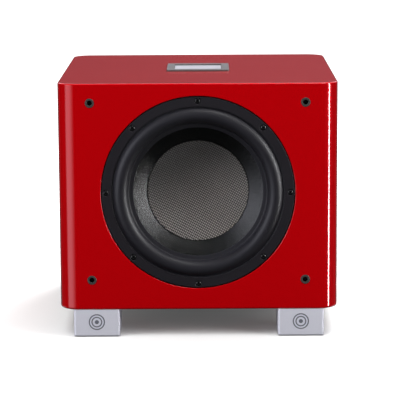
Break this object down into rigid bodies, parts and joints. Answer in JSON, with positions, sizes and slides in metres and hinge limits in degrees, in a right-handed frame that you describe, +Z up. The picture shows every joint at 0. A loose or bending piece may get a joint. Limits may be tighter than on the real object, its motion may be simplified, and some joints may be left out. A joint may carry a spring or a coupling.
{
  "type": "active home subwoofer",
  "caption": "Powered home subwoofer: gloss red box with round upright corners on four block feet, front driver with a concave woven cap, badge on top, rear amplifier plate.",
  "frame": {"origin": "on the floor, under the middle of the overall box", "axes": "+X to the right seen from the front, +Y from the front to the rear, +Z up"},
  "size_m": [0.377, 0.4061, 0.3479],
  "materials": {
    "lacquer": "high-gloss red lacquer on board",
    "badge_grey": "satin dark grey",
    "badge_silver": "fine brushed",
    "foot_silver": "satin silver",
    "emblem_slate": "dark slate",
    "foot_rubber": "matt",
    "steel_screw": "zinc plated",
    "black_screw": "black oxide",
    "black_rubber": "satin",
    "black_trim": "matt moulded",
    "cast_frame": "black textured paint",
    "foam": "closed-cell foam",
    "cone_paper": "coated, slightly glossy",
    "woven_cap": "open plain weave, resin coated",
    "former": "thin rolled sheet",
    "copper": "enamelled wire",
    "spider_cloth": "resin-treated cloth",
    "motor_steel": "black zinc",
    "ferrite": "ground ferrite",
    "flat_cone": "stiff sandwich panel",
    "plate_black": "black satin paint",
    "control_black": "satin moulded",
    "jack_metal": "gold-coloured plating",
    "pin_metal": "nickel plated",
    "shaft_metal": "turned",
    "board_green": "solder mask",
    "can_blue": "sleeve",
    "winding_tape": "wrapped tape",
    "sink_metal": "extruded",
    "cord_black": "round cord"
  },
  "bodies": {
    "cabinet": {"front_baffle": "lacquer", "rear_panel": "lacquer", "left_side_panel": "lacquer", "right_side_panel": "lacquer", "top_panel": "lacquer", "bottom_panel": "lacquer", "badge_frame": "badge_grey", "badge_insert": "badge_silver", "foot_front_left": "foot_silver", "foot_front_right": "foot_silver", "foot_rear_left": "foot_silver", "foot_rear_right": "foot_silver", "foot_emblems": "emblem_slate", "foot_pads": "foot_rubber", "foot_screws": "steel_screw", "grille_sockets": "black_rubber", "trim_ring": "black_trim", "basket": "cast_frame", "driver_gasket": "foam", "driver_screws": "black_screw", "surround": "black_rubber", "spider": "spider_cloth", "tinsel_leads": "copper", "top_plate": "motor_steel", "magnet": "ferrite", "yoke": "motor_steel", "terminal_strip": "black_trim", "radiator_frame": "cast_frame", "radiator_surround": "black_rubber", "radiator_screws": "black_screw", "amp_plate": "plate_black", "amp_gasket": "foam", "amp_screws": "black_screw", "pot_bodies": "control_black", "phase_switch_body": "shaft_metal", "power_switch_body": "control_black", "mains_inlet": "control_black", "inlet_pins": "pin_metal", "high_level_socket": "control_black", "rca_sockets": "jack_metal", "main_board": "board_green", "capacitors": "can_blue", "transformer": "winding_tape", "transformer_bolt": "black_screw", "heatsink": "sink_metal", "driver_lead": "cord_black"},
    "moving_cone": {"cone": "cone_paper", "dust_cap": "woven_cap", "coil_former": "former", "coil_winding": "copper"},
    "radiator": {"radiator_cone": "flat_cone", "radiator_weight": "motor_steel"},
    "level_control": {"level_knob": "control_black", "level_shaft": "shaft_metal"},
    "lfe_control": {"lfe_knob": "control_black", "lfe_shaft": "shaft_metal"},
    "crossover_control": {"crossover_knob": "control_black", "crossover_shaft": "shaft_metal"},
    "phase_lever": {"phase_toggle": "shaft_metal"},
    "power_key": {"power_rocker": "control_black"}
  },
  "joints": [
    {"name": "cone_travel", "type": "slide", "parent": "cabinet", "child": "moving_cone", "axis": [0, -1, 0], "range_m": [-0.01, 0.01], "stiffness_N_per_m": 2500, "deforming": ["surround", "spider", "tinsel_leads"]},
    {"name": "radiator_travel", "type": "slide", "parent": "cabinet", "child": "radiator", "axis": [0, 0, -1], "range_m": [-0.01, 0.01], "stiffness_N_per_m": 4000, "springref_m": -0.0011, "deforming": ["radiator_surround"]},
    {"name": "level_turn", "type": "hinge", "parent": "cabinet", "child": "level_control", "pos_m": [-0.065, 0.192, 0.268], "axis": [0, 1, 0], "range_deg": [-150, 150]},
    {"name": "lfe_turn", "type": "hinge", "parent": "cabinet", "child": "lfe_control", "pos_m": [-0.025, 0.192, 0.268], "axis": [0, 1, 0], "range_deg": [-150, 150]},
    {"name": "crossover_turn", "type": "hinge", "parent": "cabinet", "child": "crossover_control", "pos_m": [0.015, 0.192, 0.268], "axis": [0, 1, 0], "range_deg": [-150, 150]},
    {"name": "phase_flick", "type": "hinge", "parent": "cabinet", "child": "phase_lever", "pos_m": [0.06, 0.1925, 0.268], "axis": [1, 0, 0], "range_deg": [-24, 0]},
    {"name": "power_rock", "type": "hinge", "parent": "cabinet", "child": "power_key", "pos_m": [-0.012, 0.19, 0.092], "axis": [1, 0, 0], "range_deg": [-16, 0]}
  ]
}
